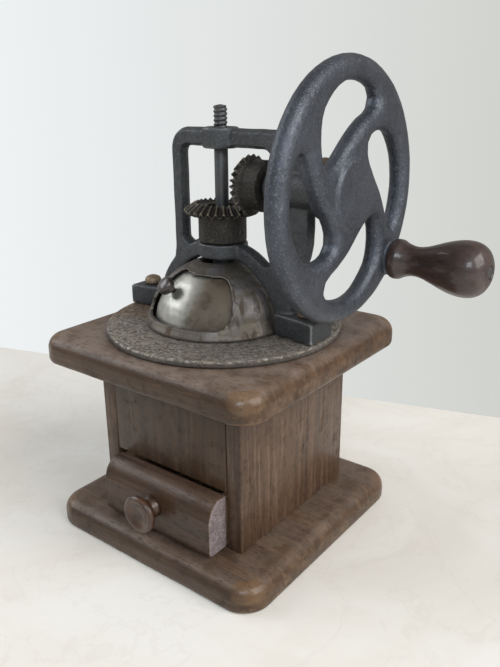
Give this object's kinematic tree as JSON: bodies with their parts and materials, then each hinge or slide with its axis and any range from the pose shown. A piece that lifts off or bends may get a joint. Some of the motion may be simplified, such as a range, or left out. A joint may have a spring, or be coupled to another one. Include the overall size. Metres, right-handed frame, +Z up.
{
  "type": "hand crank coffee grinder",
  "caption": "Wooden box coffee mill with drawer, domed metal hopper with sliding door, iron bridge, bevel gears and a side wheel with S-shaped spokes and turned wooden handle.",
  "frame": {"origin": "centre of the base board's underside", "axes": "+Z up, drawer towards -Y, wheel and crank shaft towards +X"},
  "size_m": [0.1781, 0.1289, 0.2231],
  "materials": {
    "walnut": "worn dark varnish",
    "plain_wood": "bare, unpolished",
    "knob_wood": "satin, orange brown",
    "handle_wood": "glossy dark red-brown",
    "cast_iron": "dark blue-grey, worn satin",
    "dome_metal": "aged, stained plating",
    "steel": "dull, slightly rusty",
    "brass": "tarnished"
  },
  "bodies": {
    "case": {"base_board": "walnut", "box_front_panel": "walnut", "box_back_panel": "walnut", "box_left_side": "walnut", "box_right_side": "walnut", "top_board": "walnut", "base_screw_1": "steel", "base_screw_2": "steel", "base_screw_3": "steel", "base_screw_4": "steel", "top_nail_1": "steel", "top_nail_2": "steel", "top_nail_3": "steel", "top_nail_4": "steel", "flange_plate": "dome_metal", "hopper_dome": "dome_metal", "bridge_frame": "cast_iron", "frame_screw_left": "brass", "frame_screw_right": "brass", "outer_burr": "steel", "burr_bracket": "cast_iron", "bracket_screw_front": "steel", "bracket_screw_back": "steel"},
    "drawer": {"drawer_front": "walnut", "drawer_left_side": "plain_wood", "drawer_right_side": "plain_wood", "drawer_back": "plain_wood", "drawer_bottom": "plain_wood", "drawer_knob": "knob_wood", "drawer_knob_screw": "steel"},
    "door": {"hopper_door": "dome_metal", "door_knob": "steel"},
    "spindle": {"spindle": "steel", "crown_gear": "cast_iron", "crown_pin": "steel", "inner_burr": "steel", "spindle_collar": "steel"},
    "wheel": {"hand_wheel": "cast_iron", "crank_shaft": "steel", "pinion_gear": "cast_iron", "pinion_pin": "steel", "wheel_set_screw": "steel", "handle_bolt": "steel"},
    "grip": {"handle_grip": "handle_wood"}
  },
  "joints": [
    {"name": "wheel_spin", "type": "hinge", "parent": "case", "child": "wheel", "pos_m": [0.0645, 0, 0.1703], "axis": [1, 0, 0], "continuous": true},
    {"name": "spindle_spin", "type": "hinge", "parent": "case", "child": "spindle", "pos_m": [0, 0, 0.1703], "axis": [0, 0, 1], "continuous": true},
    {"name": "handle_spin", "type": "hinge", "parent": "wheel", "child": "grip", "pos_m": [0.0706, 0.03539, 0.13787], "axis": [1, 0, 0], "continuous": true},
    {"name": "drawer_slide", "type": "slide", "parent": "case", "child": "drawer", "axis": [0, -1, 0], "range_m": [0, 0.06]},
    {"name": "door_swing", "type": "hinge", "parent": "case", "child": "door", "pos_m": [-0.00198, -0.00152, 0.132], "axis": [0, 0, 1], "range_deg": [0, 66]}
  ],
  "couplings": [
    {"joint": "spindle_spin", "follows": "wheel_spin", "ratio": 0.73333}
  ]
}
